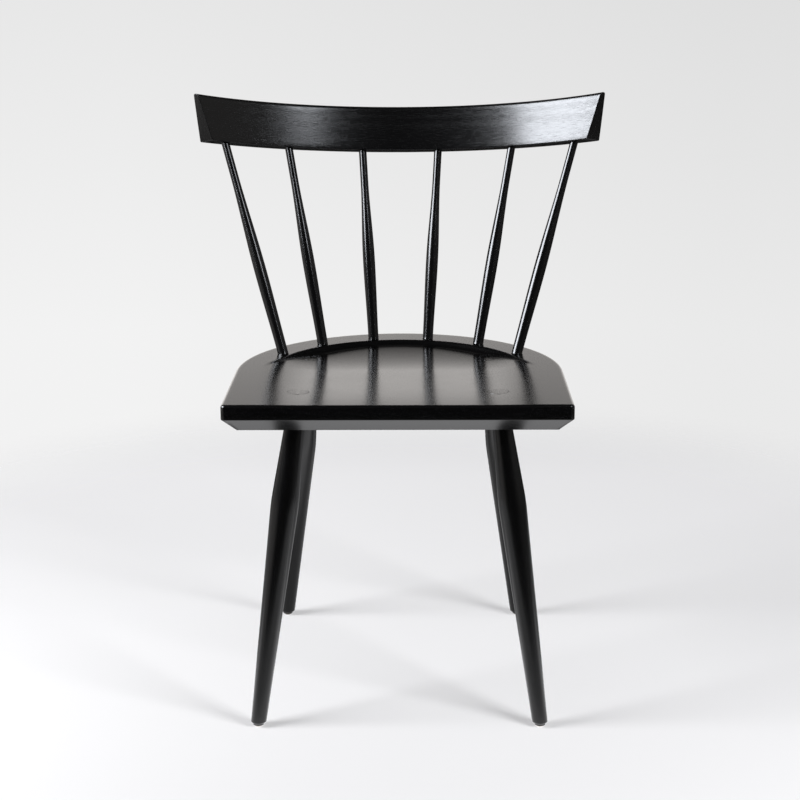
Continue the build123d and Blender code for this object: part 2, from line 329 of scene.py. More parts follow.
def cut(piece, cutters):
    """Takes the cutters' solids out of a piece, and the cutters with them."""
    shape = bmesh.new()
    for cutter in cutters:
        shape.from_mesh(cutter.data)
        discard(cutter)
    mesh = bpy.data.meshes.new("cutters")
    shape.to_mesh(mesh)
    shape.free()
    tool = new_piece("cutters", mesh)
    carving = piece.modifiers.new("Cut", "BOOLEAN")
    carving.operation = "DIFFERENCE"
    carving.solver = "EXACT"
    carving.object = tool
    bake(piece)
    discard(tool)


def points_of(mesh):
    """The mesh's points as rows of an array."""
    flat = np.empty(3 * len(mesh.vertices))
    mesh.vertices.foreach_get("co", flat)
    return flat.reshape(-1, 3)


def in_frame(place, points):
    """Rows of points as they lie in a piece's own frame."""
    back = np.array(place.inverted())
    return points @ back[:3, :3].T + back[:3, 3]


def lay_grain(piece, board):
    """Stores where each point lies in its board, which the wood's finish reads."""
    places = np.asarray(board(points_of(piece.data)), dtype=np.float32)
    layer = piece.data.attributes.new(BOARD, "FLOAT_VECTOR", "POINT")
    layer.data.foreach_set("vector", places.ravel())


def finish_piece(piece, node, finish):
    """Gives a piece its finish and puts it in its CAD node's place."""
    piece.data.materials.clear()
    piece.data.materials.append(finish)
    piece.data.set_sharp_from_angle(angle=CRISP_TURN)
    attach(piece, BODY)
    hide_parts(node)


# The lathe


def lathe_tree():
    """Geometry Nodes tree that turns a profile about Z and can slant its two ends."""
    tree = bpy.data.node_groups.new("Lathe", "GeometryNodeTree")
    for name, kind in (
        ("Profile", "Object"),
        ("Rows", "Int"),
        ("Columns", "Int"),
        ("Foot slant", "Vector"),
        ("Top slant", "Vector"),
        ("Foot height", "Float"),
        ("Middle height", "Float"),
        ("Top height", "Float"),
        ("Finish", "Material"),
    ):
        tree.interface.new_socket(name, in_out="INPUT", socket_type=f"NodeSocket{kind}")
    tree.interface.new_socket("Geometry", in_out="OUTPUT", socket_type="NodeSocketGeometry")
    given = add(tree, "NodeGroupInput").outputs
    profile = add(tree, "GeometryNodeObjectInfo", {}, {"Object": given["Profile"]}).outputs["Geometry"]
    grid = add(
        tree, "GeometryNodeMeshGrid", {},
        {"Size X": 1.0, "Size Y": 1.0, "Vertices X": given["Columns"], "Vertices Y": given["Rows"]},
    )
    position = add(tree, "GeometryNodeInputPosition")
    cell = add(tree, "ShaderNodeSeparateXYZ", {}, {0: position}).outputs
    angle = add(tree, "ShaderNodeMath", {"operation": "MULTIPLY"}, {0: cell["X"], 1: math.tau})
    share = add(tree, "ShaderNodeMath", {"operation": "ADD"}, {0: cell["Y"], 1: 0.5})
    last = add(tree, "ShaderNodeMath", {"operation": "SUBTRACT"}, {0: given["Rows"], 1: 1.0})
    row = add(tree, "ShaderNodeMath", {"operation": "MULTIPLY"}, {0: share, 1: last})
    index = add(tree, "FunctionNodeFloatToInt", {"rounding_mode": "ROUND"}, {0: row})
    sampled = add(
        tree, "GeometryNodeSampleIndex", {"data_type": "FLOAT_VECTOR", "domain": "POINT"},
        {"Geometry": profile, "Value": position, "Index": index},
    ).outputs["Value"]
    height = add(tree, "ShaderNodeSeparateXYZ", {}, {0: sampled}).outputs["Z"]
    spun = add(
        tree, "ShaderNodeVectorRotate", {"rotation_type": "Z_AXIS"}, {"Vector": sampled, "Angle": angle}
    )
    slide = 0.0
    for end in ("Foot", "Top"):
        reach = add(
            tree, "ShaderNodeMapRange", {},
            {"Value": height, "From Min": given["Middle height"], "From Max": given[f"{end} height"]},
        )
        rise = add(
            tree, "ShaderNodeVectorMath", {"operation": "DOT_PRODUCT"}, {0: spun, 1: given[f"{end} slant"]}
        ).outputs["Value"]
        slide = add(tree, "ShaderNodeMath", {"operation": "MULTIPLY_ADD"}, {0: reach, 1: rise, 2: slide})
    offset = add(tree, "ShaderNodeCombineXYZ", {}, {"Z": slide})
    skin = add(
        tree, "GeometryNodeSetPosition", {}, {"Geometry": grid, "Position": spun, "Offset": offset}
    )
    closed = add(tree, "GeometryNodeMergeByDistance", {}, {"Geometry": skin, "Distance": SAME_POINT})
    real = add(tree, "GeometryNodeRealizeInstances", {}, {"Geometry": closed})
    painted = add(tree, "GeometryNodeSetMaterial", {}, {"Geometry": real, "Material": given["Finish"]})
    add(tree, "NodeGroupOutput", {}, {0: painted})
    return tree


def turned(name, profile, place, finish=None, columns=72, foot_slant=(0, 0, 0), top_slant=(0, 0, 0)):
    """Piece turned from a profile of complex points, radius + height * 1j, and put in its place."""
    line = bpy.data.curves.new(f"{name}_profile", "CURVE")
    line.dimensions = "3D"
    spline = line.splines.new("POLY")
    spline.points.add(len(profile) - 1)
    for point, corner in zip(spline.points, profile):
        point.co = (corner.real, 0.0, corner.imag, 1.0)
    outline = new_piece(f"{name}_profile", line)
    piece = new_piece(name, bpy.data.meshes.new(name))
    lathe = piece.modifiers.new("Lathe", "NODES")
    lathe.node_group = bpy.data.node_groups.get("Lathe") or lathe_tree()
    heights = [corner.imag for corner in profile]
    values = {
        "Profile": outline,
        "Rows": len(profile),
        "Columns": columns + 1,
        "Foot slant": foot_slant,
        "Top slant": top_slant,
        "Foot height": min(heights),
        "Middle height": (min(heights) + max(heights)) / 2,
        "Top height": max(heights),
        "Finish": finish,
    }
    for socket in lathe.node_group.interface.items_tree:
        if socket.in_out == "INPUT":
            lathe[socket.identifier] = values[socket.name]
    bake(piece)
    discard(outline)
    clean(piece.data)
    piece.data.transform(place)
    return piece


def place_of(origin, axis, across):
    """Frame at a point with +Z along an axis and +X as near as it can be to another direction."""
    up = axis.normalized()
    side = (across - up * across.dot(up)).normalized()
    turned_frame = Matrix((side, up.cross(side), up)).transposed().to_4x4()
    return Matrix.Translation(origin) @ turned_frame


def along_axis(place, shift):
    """Board whose grain runs along a turned piece; the shift gives each piece its own wood."""
    return lambda points: in_frame(place, points)[:, [2, 0, 1]] + np.array(shift)


# The seat


def underside(seat):
    """Height of the seat's underside above the floor."""
    return seat.height - seat.thickness


def smooth_step(share):
    """0 to 1, level at both ends."""
    share = np.clip(share, 0.0, 1.0)
    return share * share * (3 - 2 * share)


def scoop_depth(saddle, x, setback):
    """Depth of the saddle's floor, without the wall in front of the deck."""
    run = setback - saddle.front_land
    levelling = np.maximum(run - saddle.ramp_length, 0.0)
    rolling = np.clip(1 - setback / saddle.roll_reach, 0.0, 1.0)
    depth = run * math.tan(saddle.slope) - levelling**2 / (2 * saddle.floor_radius)
    depth += saddle.front_roll * rolling**3
    fade = saddle.run_out_half_width - saddle.floor_half_width
    across = 1 - smooth_step((np.abs(x) - saddle.floor_half_width) / fade)
    return depth * across


def lower(first, second, softness):
    """The lower of two heights, with a soft turn where they meet."""
    blend = np.clip(0.5 + 0.5 * (second - first) / softness, 0.0, 1.0)
    return second + (first - second) * blend - softness * blend * (1 - blend)


def seat_top(chair, x, y):
    """Height of the carved seat above the floor."""
    seat = chair.seat
    saddle = chair.saddle
    gutter = seat.back_radius - saddle.deck_width
    setback = y - seat.front_y
    behind = np.maximum(setback - seat.side_length, 0.0)
    depth = np.maximum(scoop_depth(saddle, x, setback), 0.0)
    opening = saddle.wall_flare * (1 - smooth_step(behind / saddle.flare_reach))
    wall = (np.hypot(x, behind) - gutter - opening) * math.tan(saddle.wall_slope)
    cove = np.clip(depth, saddle.softness / 100, saddle.cove)  # never nil, where the floor runs out
    return seat.height - lower(depth, -lower(wall, 0.0, saddle.softness), cove)


def seat_loop(seat, inset, corner_radius):
    """Points round the D at an inset from its sharp outline, front middle first."""
    front_steps = 44
    corner_steps = 9
    side_steps = 38
    back_steps = 76
    half = seat.front_width / 2
    corner_reach = math.hypot(half, seat.side_length)
    touch = math.atan2(-seat.side_length, half) + math.acos(seat.back_radius / corner_reach)
    centre = complex(0, seat.front_y + seat.side_length)

    def corner(depth):
        """Right front corner of the outline at a depth inside it."""
        y = depth - seat.side_length
        return complex((seat.back_radius - depth - y * math.sin(touch)) / math.cos(touch), y)

    hub = corner(inset + corner_radius)
    radius = seat.back_radius - inset
    arc = [hub + cmath.rect(corner_radius, a) for a in np.linspace(-math.pi / 2, touch, corner_steps)]
    tangent = cmath.rect(radius, touch)
    right = spread(complex(0, arc[0].imag), arc[0], front_steps) + arc[:-1]
    right += spread(arc[-1], tangent, side_steps)
    right += [cmath.rect(radius, a) for a in np.linspace(touch, math.pi / 2, back_steps)]
    left = [complex(-point.real, point.imag) for point in right[-2:0:-1]]
    return np.array(right + left) + centre


def seat_rings(chair):
    """Rings of the seat's skin, from the middle of its underside to the middle of its top."""
    seat = chair.seat
    low = underside(seat)
    mitre = 1 / (1 - math.sqrt(0.5))  # how fast the under-bevel sharpens the rounded corners
    centre = complex(0, seat.front_y + seat.side_length)
    inner = 2 * seat.bevel_inset
    almost = 0.9999  # the top's rounding ends just short of the outline's last point
    edge = rounded(
        [
            complex(inner, low),
            complex(seat.bevel_inset, low),
            complex(0, seat.height - seat.edge_band),
            complex(0, seat.height),
            complex(seat.top_round, seat.height),
        ],
        [seat.arris, seat.arris, almost * seat.top_round],
    )
    rings = [[(0, centre.imag, low)]]
    floor_loop = seat_loop(seat, inner, 0.0) - centre
    for share in (0.25, 0.5, 0.75):
        ring = floor_loop * share + centre
        rings.append([(p.real, p.imag, low) for p in ring])
    top_loop = seat_loop(seat, seat.top_round, seat.corner_radius - seat.top_round)
    dip = seat_top(chair, top_loop.real, top_loop.imag) - seat.height
    for point in edge:
        rise = point.imag - seat.height + seat.edge_band
        sharpening = mitre if rise < 0 else 1.0
        corner_radius = max(seat.corner_radius - sharpening * point.real, 0.0)
        ring = seat_loop(seat, point.real, corner_radius)
        heights = point.imag + dip * max(rise / seat.edge_band, 0.0)
        rings.append(list(zip(ring.real, ring.imag, heights)))
    for radius in top_radii(chair):
        ring = (top_loop - centre) * (radius / (seat.back_radius - seat.top_round)) + centre
        heights = seat_top(chair, ring.real, ring.imag)
        rings.append(list(zip(ring.real, ring.imag, heights)))
    middle = seat_top(chair, np.zeros(1), np.full(1, centre.imag))[0]
    rings.append([(0, centre.imag, middle)])
    return rings


def top_radii(chair):
    """Radii of the rings on the seat's top, close together where the saddle's wall turns."""
    deck_steps = 16
    edge_steps = 6
    wall_steps = 22
    floor_steps = 40
    saddle = chair.saddle
    rim = chair.seat.back_radius - chair.seat.top_round
    gutter = chair.seat.back_radius - saddle.deck_width
    wall_top = gutter + 2 * saddle.softness
    wall_start = gutter - 2 * saddle.softness
    wall_foot = gutter - 4 * saddle.cove
    radii = spread(rim, wall_top, deck_steps)[1:] + spread(wall_top, wall_start, edge_steps)
    return radii + spread(wall_start, wall_foot, wall_steps) + spread(wall_foot, 0, floor_steps)


class CHAIR_OT_carve_seat(bpy.types.Operator):
    """Carve the saddle seat, with its mortises and sockets"""

    bl_idname = "chair.carve_seat"
    bl_label = "Carve seat"

    def execute(self, context):
        chair = context.scene.chair
        spindles = chair.spindles
        clear = 12 * MM  # how far a cutter stands out of the deck
        bottom = -spindles.foot_tenon - SOCKET_SPARE
        heart = np.array((0.031, 0.04, 0.36))  # middle of the growth rings, in metres
        piece = new_piece("carved_seat", ring_mesh("carved_seat", seat_rings(chair)))
        cutters = [mortise(chair, row, hand) for row in ROWS for hand in HANDS]
        for _, _, place, _ in spindle_places(chair):
            cutters.append(spindle_socket(place, spindles.foot_diameter, bottom, clear))
        cut(piece, cutters)
        lay_grain(piece, lambda points: points - heart)
        finish = lacquered_ash(chair, "seat", relief_share=0.0)
        finish_piece(piece, "seat", finish)
        return {"FINISHED"}


# The legs


def leg_place(chair, row, hand):
    """Frame of a leg: its origin on the floor, +Z up its axis."""
    ends = []
    for end, height in (("foot", 0), ("socket", underside(chair.seat))):
        x = HANDS[hand] * getattr(chair.legs, f"{row}_{end}_x")
        y = chair.seat.front_y + getattr(chair.legs, f"{row}_{end}_setback")
        ends.append(Vector((x, y, height)))
    foot, socket = ends
    axis = (socket - foot).normalized()
    return place_of(foot, axis, Vector((axis.z, 0, -axis.x)))


def leg_heights(chair, place):
    """Heights along a leg's axis: sole, knee, neck, mouth of the mortise and deck."""
    slant = place.col[2].z
    low = underside(chair.seat)
    tilt = math.acos(slant)
    mouth = low / slant
    neck = mouth - chair.legs.top_diameter * math.tan(tilt)
    knee = (low - chair.legs.knee_drop) / slant
    return glide_height / slant, knee, neck, mouth, chair.seat.height / slant


def tenon_end(chair, place):
    """Middle of a tenon's end on the carved seat, its height up the axis and the seat's normal there."""
    tries = 8  # each halves the error at least
    axis = place.col[2].to_3d()
    height = chair.seat.height / axis.z
    for _ in range(tries):
        point = place.translation + axis * height
        gap = float(seat_top(chair, np.array([point.x]), np.array([point.y]))[0]) - point.z
        height += gap / axis.z
    step = 2 * MM
    xs = np.array([point.x - step, point.x + step, point.x, point.x])
    ys = np.array([point.y, point.y, point.y - step, point.y + step])
    west, east, south, north = seat_top(chair, xs, ys)
    normal = Vector(((west - east) / (2 * step), (south - north) / (2 * step), 1.0)).normalized()
    return point, height, normal


def slant_to(place, normal):
    """Slant that lays a turned piece's end in the plane with that normal."""
    local = place.to_3x3().transposed() @ normal
    return Vector((-local.x / local.z, -local.y / local.z, 0.0))


def mortise(chair, row, hand):
    """Cutter for a leg's flared through hole."""
    legs = chair.legs
    place = leg_place(chair, row, hand)
    _, _, neck, mouth, deck = leg_heights(chair, place)
    start = legs.top_diameter / 2 + JOINT_GAP
    end = legs.tenon_diameter / 2 + JOINT_GAP
    spare = 20 * MM
    flare = (end - start) / (deck - mouth)
    profile = [
        complex(0, neck - spare),
        complex(start, neck - spare),
        complex(start, mouth),
        complex(end + flare * spare, deck + spare),
        complex(0, deck + spare),
    ]
    return turned("mortise", profile, place, columns=96)


class CHAIR_OT_turn_legs(bpy.types.Operator):
    """Turn the four legs, trim them flush with the carved seat and saw their kerfs"""

    bl_idname = "chair.turn_legs"
    bl_label = "Turn legs"

    def execute(self, context):
        chair = context.scene.chair
        finish = lacquered_ash(chair, "legs", relief_share=0.15, ior=1.47)
        for row in ROWS:
            for hand in HANDS:
                self.turn_leg(chair, row, hand, finish)
        return {"FINISHED"}

    def turn_leg(self, chair, row, hand, finish):
        """Makes one leg, from its sole to the flush end of its tenon."""
        legs = chair.legs
        place = leg_place(chair, row, hand)
        sole, knee, neck, mouth, deck = leg_heights(chair, place)
        middle, end, normal = tenon_end(chair, place)
        flare = (legs.tenon_diameter - legs.top_diameter) / 2 / (deck - mouth)
        end_radius = legs.top_diameter / 2 + flare * (end - mouth)
        foot_radius = legs.foot_diameter / 2
        chamfer = legs.foot_chamfer
        eased = 0.3 * chamfer
        neck_round = 4 * MM
        end_rings = (1, 0.7, 0.35, 0)  # shares of the radius, on the tenon's end
        corners = [
            complex(0, sole),
            complex(foot_radius / 2, sole),
            complex(foot_radius - chamfer, sole),
            complex(foot_radius, sole + chamfer),
            complex(legs.knee_diameter / 2, knee),
            complex(legs.top_diameter / 2, neck),
            complex(legs.top_diameter / 2, mouth),
        ]
        corners += [complex(end_radius * share, end) for share in end_rings]
        radii = [0, eased, eased, legs.knee_radius, neck_round, 0, legs.tenon_round, 0, 0]
        piece = turned(
            f"turned_leg_{row}_{hand}",
            self.with_rows(rounded(corners, radii)),
            place,
            finish,
            foot_slant=slant_to(place, UP),
            top_slant=slant_to(place, normal),
        )
        self.trim_flush(chair, piece.data, middle, normal)
        cut(piece, [self.kerf(chair, place, deck)])
        shift = (0.4 * HANDS[hand], 0.031 + 0.05 * (row == "rear"), 0.017)
        lay_grain(piece, along_axis(place, shift))
        finish_piece(piece, f"leg_{row}_{hand}", finish)

    def with_rows(self, profile):
        """Adds points on the long straight stretches, so that faces stay near square."""
        longest = 12 * MM
        path = []
        for start, end in zip(profile, profile[1:]):
            path += spread(start, end, max(1, math.ceil(abs(end - start) / longest)))
        return path + [profile[-1]]

    def trim_flush(self, chair, mesh, middle, normal):
        """Lays the tenon's flat end on the carved seat, a hair above it."""
        flat = 0.01 * MM
        points = points_of(mesh)
        on_end = np.abs((points - np.array(middle)) @ np.array(normal)) < flat
        ends = points[on_end]
        ends[:, 2] = seat_top(chair, ends[:, 0], ends[:, 1]) + chair.legs.tenon_proud
        points[on_end] = ends
        mesh.vertices.foreach_set("co", points.ravel())
        mesh.update()

    def kerf(self, chair, place, deck):
        """Cutter for the saw cut that takes the wedge."""
        legs = chair.legs
        reach = legs.tenon_diameter
        spare = 8 * MM
        growth = (legs.kerf_top - legs.kerf_tip) / legs.kerf_depth
        rings = []
        for height in (deck - legs.kerf_depth, deck + spare):
            half = (legs.kerf_tip + growth * (height - deck + legs.kerf_depth)) / 2
            corners = ((-half, -reach), (half, -reach), (half, reach), (-half, reach))
            rings.append([(x, y, height) for x, y in corners])
        middles = [[(0, 0, ring[0][2])] for ring in rings]
        mesh = ring_mesh("kerf", [middles[0], rings[0], rings[1], middles[1]])
        mesh.transform(place)
        return new_piece("kerf", mesh)


# The spindles


def crest_frame(chair):
    """Frame at the crest rail's lower front edge: +X along the rail, +Y back, +Z up the lean."""
    crest = chair.crest
    origin = Vector((0, chair.seat.front_y + crest.setback, chair.seat.height + crest.bottom_rise))
    up = Vector((0, math.sin(crest.lean), math.cos(crest.lean)))
    return place_of(origin, up, ACROSS)


def spindle_place(chair, hand, at):
    """Frame at a spindle's foot on the deck, with +Z up its axis, and its length to the crest rail."""
    spindles = chair.spindles
    side = HANDS[hand]
    bearing = side * spindles.pitch * (at + 0.5)
    centre_y = chair.seat.front_y + chair.seat.side_length
    foot_x = spindles.circle * math.sin(bearing)
    foot_y = centre_y + spindles.circle * math.cos(bearing)
    foot = Vector((foot_x, foot_y, chair.seat.height))
    outermost = len(SPINDLE_PLACES) - 1
    bend = spindles.crest_pitch * (min(at, outermost - 1) + 0.5)
    if at == outermost:
        bend += spindles.crest_outer_pitch
    radius = chair.crest.front_radius + chair.crest.front_wall + spindles.neck_diameter / 2
    local = Vector((side * radius * math.sin(bend), radius * math.cos(bend) - chair.crest.front_radius, 0))
    axis = crest_frame(chair) @ local - foot
    return place_of(foot, axis, ACROSS), axis.length


def spindle_places(chair):
    """Hand, place in the row, frame and length of every spindle."""
    places = range(len(SPINDLE_PLACES))
    return [(hand, at, *spindle_place(chair, hand, at)) for hand in HANDS for at in places]


def spindle_socket(place, diameter, low, high):
    """Cutter for a spindle's blind hole, between two heights along the spindle."""
    radius = diameter / 2 + JOINT_GAP
    profile = [complex(0, low), complex(radius, low), complex(radius, high), complex(0, high)]
    return turned("socket", profile, place, columns=64)


def spindle_radius(chair, height, straight, length):
    """Radius of the swelling between a spindle's two straight ends, as two joined cubics."""
    spindles = chair.spindles
    heights = (straight, spindles.belly_height, length - spindles.neck_length)
    radii = [d / 2 for d in (spindles.foot_diameter, spindles.belly_diameter, spindles.neck_diameter)]
    spans = (heights[1] - heights[0], heights[2] - heights[1])
    grades = [(radii[at + 1] - radii[at]) / spans[at] for at in (0, 1)]
    lean = 1.5 * (grades[0] * spans[1] + grades[1] * spans[0]) / (spans[0] + spans[1])
    at = 0 if height < heights[1] else 1
    share = (height - heights[at]) / spans[at]
    ease = smooth_step(share)
    start_lean, end_lean = ((0, lean), (lean, 0))[at]
    bow = start_lean * share * (1 - share) ** 2 - end_lean * share * share * (1 - share)
    return radii[at] * (1 - ease) + radii[at + 1] * ease + spans[at] * bow


class CHAIR_OT_turn_spindles(bpy.types.Operator):
    """Turn the six spindles and set them in the deck"""

    bl_idname = "chair.turn_spindles"
    bl_label = "Turn spindles"

    def execute(self, context):
        chair = context.scene.chair
        finish = lacquered_ash(chair, "spindles", relief_share=0.01)
        for hand, at, place, length in spindle_places(chair):
            name = f"{hand}_{SPINDLE_PLACES[at]}"
            piece = turned(
                f"turned_spindle_{name}",
                self.profile(chair, place, length),
                place,
                finish,
                columns=48,
                foot_slant=slant_to(place, UP),
            )
            shift = (0.5 * at * HANDS[hand], 0.043 + 0.02 * at, 0.01)
            lay_grain(piece, along_axis(place, shift))
            finish_piece(piece, f"spindle_{name}", finish)
        return {"FINISHED"}

    def profile(self, chair, place, length):
        """Outline of a spindle from its foot tenon to its top tenon."""
        bead_steps = 5
        swell_steps = 60
        neck_steps = 10
        bead_start = math.radians(20)  # where the bead's hollow comes out of the deck
        bead_sunk = (0.3 * MM, 0.1 * MM)  # its inner and outer edge below the deck
        spindles = chair.spindles
        foot = spindles.foot_diameter / 2
        neck = spindles.neck_diameter / 2
        bead = spindles.bead
        tilt = math.acos(place.col[2].z)
        straight = max(spindles.foot_diameter * math.tan(tilt), 2 * bead)
        neck_start = length - spindles.neck_length
        top = length + spindles.top_tenon
        path = [complex(0, -spindles.foot_tenon), complex(foot, -spindles.foot_tenon), complex(foot, -MM)]
        path += [complex(foot, -bead_sunk[0]), complex(foot + bead, -bead_sunk[1])]
        path += [
            complex(foot + bead * (1 - math.sin(a)), bead * (1 - math.cos(a)))
            for a in np.linspace(bead_start, math.pi / 2, bead_steps)
        ]
        path += [
            complex(spindle_radius(chair, height, straight, length), height)
            for height in np.linspace(straight, neck_start, swell_steps)
        ]
        path += [complex(neck, height) for height in spread(neck_start, top, neck_steps)[1:]]
        return path + [complex(neck, top), complex(0, top)]


# The crest rail


class CHAIR_OT_bend_crest(bpy.types.Operator):
    """Bend the crest rail, cut its flared ends and drill its sockets"""

    bl_idname = "chair.bend_crest"
    bl_label = "Bend crest rail"

    def execute(self, context):
        chair = context.scene.chair
        clear = 14 * MM  # how far a cutter stands out of the rail
        depth = chair.spindles.top_tenon + SOCKET_SPARE
        neck = chair.spindles.neck_diameter
        mesh = ring_mesh("bent_crest_rail", self.rings(chair))
        rail = crest_frame(chair)
        mesh.transform(rail)
        piece = new_piece("bent_crest_rail", mesh)
        sockets = []
        for _, _, place, length in spindle_places(chair):
            sockets.append(spindle_socket(place, neck, length - clear, length + depth))
        cut(piece, sockets)
        lay_grain(piece, lambda points: self.board(chair, in_frame(rail, points)))
        finish = lacquered_ash(chair, "crest", relief_share=0.38)
        finish_piece(piece, "crest_rail", finish)
        return {"FINISHED"}

    def section(self, crest, inset):
        """Section across the rail, thickness + height * 1j, drawn in by an inset all round."""
        arc_steps = 8
        long_side = 8 * MM
        side_steps = 6
        lean_in = math.atan2(crest.bottom_thickness - crest.top_thickness, crest.height)
        slope = math.tan(lean_in)
        back = inset / math.cos(lean_in)
        bottom = crest.bottom_thickness - slope * inset - back
        top = crest.bottom_thickness - slope * (crest.height - inset) - back
        middle = crest.height / 2
        corners = [
            complex(inset, middle),
            complex(inset, inset),
            complex(bottom, inset),
            complex(top, crest.height - inset),
            complex(inset, crest.height - inset),
            complex(inset, middle),
        ]
        radii = [crest.bottom_round, crest.bottom_round, crest.top_back_round, crest.top_front_round]
        path = rounded(corners, [radius - inset for radius in radii], arc_steps)[:-1]
        closed = path + path[:1]
        points = []
        for start, end in zip(closed, closed[1:]):
            points += spread(start, end, side_steps if abs(end - start) > long_side else 1)
        return points

    def rings(self, chair):
        """Rings from one end of the rail to the other, in the rail's own frame."""
        round_steps = 6
        between = 160
        crest = chair.crest
        stations = [
            (crest.end_round * (1 - math.sin(a)), crest.end_round * (1 - math.cos(a)))
            for a in np.linspace(0, math.pi / 2, round_steps)
        ]
        left = [self.end_ring(crest, -1, inset, back) for inset, back in stations]
        right = [self.end_ring(crest, 1, inset, back) for inset, back in reversed(stations)]
        middle = []
        for step in range(1, between):
            share = step / between
            pairs = zip(left[-1], right[0])
            middle.append([(r, h, a + (b - a) * share) for (r, h, a), (_, _, b) in pairs])
        rings = [[self.bent(crest, *point) for point in ring] for ring in left + middle + right]
        caps = [[tuple(np.mean(ring, axis=0))] for ring in (rings[0], rings[-1])]
        return [caps[0]] + rings + [caps[1]]

    def end_ring(self, crest, side, inset, back):
        """Section's points as thickness, height and bearing, where they meet an end cut set back."""
        turn_angle = side * crest.half_angle
        out = side * math.cos(crest.end_flare)
        normal = (out * math.cos(turn_angle), out * -math.sin(turn_angle), -math.sin(crest.end_flare))
        on_cut = self.bent(crest, 0, crest.height / 2, turn_angle)
        level = sum(n * c for n, c in zip(normal, on_cut)) - back
        points = []
        for point in self.section(crest, inset):
            radius = crest.front_radius + point.real
            sine = normal[0] * radius
            cosine = normal[1] * radius
            rest = level - normal[2] * point.imag + normal[1] * crest.front_radius
            first = math.asin(rest / math.hypot(sine, cosine)) - math.atan2(cosine, sine)
            second = math.pi - first - 2 * math.atan2(cosine, sine)
            bearing = min((first, second), key=lambda a: abs(math.remainder(a - turn_angle, math.tau)))
            points.append((point.real, point.imag, math.remainder(bearing, math.tau)))
        return points

    def bent(self, crest, thickness, height, bearing):
        """Point of the rail in its own frame."""
        radius = crest.front_radius + thickness
        return (radius * math.sin(bearing), radius * math.cos(bearing) - crest.front_radius, height)

    def board(self, chair, local):
        """Where points of the rail lay before their board was bent: the grain runs round the rail."""
        along, across, deep = 0.09, -0.012, 0.055  # where the rail was cut from its plank, in metres
        radius = chair.crest.front_radius
        bearing = np.arctan2(local[:, 0], local[:, 1] + radius)
        depth = np.hypot(local[:, 0], local[:, 1] + radius) - radius
        return np.stack([bearing * radius + along, local[:, 2] + across, depth + deep], axis=1)


# Finishes


def new_finish(name):
    """Material with an empty node tree."""
    finish = bpy.data.materials.new(name)
    finish.use_nodes = True
    finish.node_tree.nodes.clear()
    return finish


def lacquered_ash(chair, where, relief_share, ior=1.55):
    """Ash, planed or turned, stained black and sprayed with satin lacquer.

    The lacquer gives one soft reflection; it sinks a little into the long open pores, so that a
    sheen breaks up into fine streaks along the grain."""
    finish = new_finish(f"black lacquered ash, {where}")
    tree = finish.node_tree
    pore_length = 14 * MM
    pore_width = 0.9 * MM  # real pores are near 0.3 mm wide, which is too fine to show
    pore_depth = 0.06 * MM
    pore_roughness = 0.3
    ring_width = 7 * MM
    ring_stretch = 0.12  # growth rings run on along the grain
    ring_share = 0.1  # how strongly the pores gather in the rings
    wave_pitch = math.tau / 20  # of the wave texture at a scale of 1
    cloud_size = 60 * MM
    place = add(tree, "ShaderNodeAttribute", {"attribute_name": BOARD}).outputs["Vector"]
    streaks = add(
        tree, "ShaderNodeVectorMath", {"operation": "MULTIPLY"},
        {0: place, 1: (1 / pore_length, 1 / pore_width, 1 / pore_width)},
    )
    pores = add(
        tree, "ShaderNodeTexNoise", {}, {"Vector": streaks, "Scale": 1.0, "Detail": 3.0, "Roughness": 0.6}
    )
    drawn = add(
        tree, "ShaderNodeVectorMath", {"operation": "MULTIPLY"}, {0: place, 1: (ring_stretch, 1.0, 1.0)}
    )
    rings = add(
        tree, "ShaderNodeTexWave", {"wave_type": "RINGS", "rings_direction": "X"},
        {"Vector": drawn, "Scale": wave_pitch / ring_width, "Distortion": 2.5, "Detail": 2.0},
    )
    open_pores = add(
        tree, "ShaderNodeMath", {"operation": "MULTIPLY_ADD"},
        {0: rings.outputs["Fac"], 1: ring_share, 2: pores.outputs["Fac"]},
    )
    depth = add(
        tree, "ShaderNodeMapRange", {"interpolation_type": "SMOOTHSTEP"},
        {"Value": open_pores, "From Min": 0.42, "From Max": 0.72},
    )
    clouds = add(tree, "ShaderNodeTexNoise", {}, {"Vector": place, "Scale": 1 / cloud_size, "Detail": 2.0})
    gloss = add(
        tree, "ShaderNodeMapRange", {},
        {"Value": clouds.outputs["Fac"], "From Min": 0.3, "From Max": 0.7, "To Min": 0.18, "To Max": 0.2},
    )
    roughness = add(
        tree, "ShaderNodeMath", {"operation": "MULTIPLY_ADD"},
        {0: depth, 1: pore_roughness * relief_share, 2: gloss},
    )
    tints = chair.tints
    colour = add(
        tree, "ShaderNodeMix", {"data_type": "RGBA"},
        {0: depth, COLOUR_A: tints.lacquer, COLOUR_B: tints.pore},
    ).outputs[MIXED_COLOUR]
    relief = add(
        tree, "ShaderNodeBump", {"invert": True},
        {"Strength": relief_share, "Distance": pore_depth, "Height": depth},
    )
    shader = add(
        tree, "ShaderNodeBsdfPrincipled", {},
        {"Base Color": colour, "Roughness": roughness, "IOR": ior, "Normal": relief},
    )
    add(tree, "ShaderNodeOutputMaterial", {}, {"Surface": shader})
    return finish


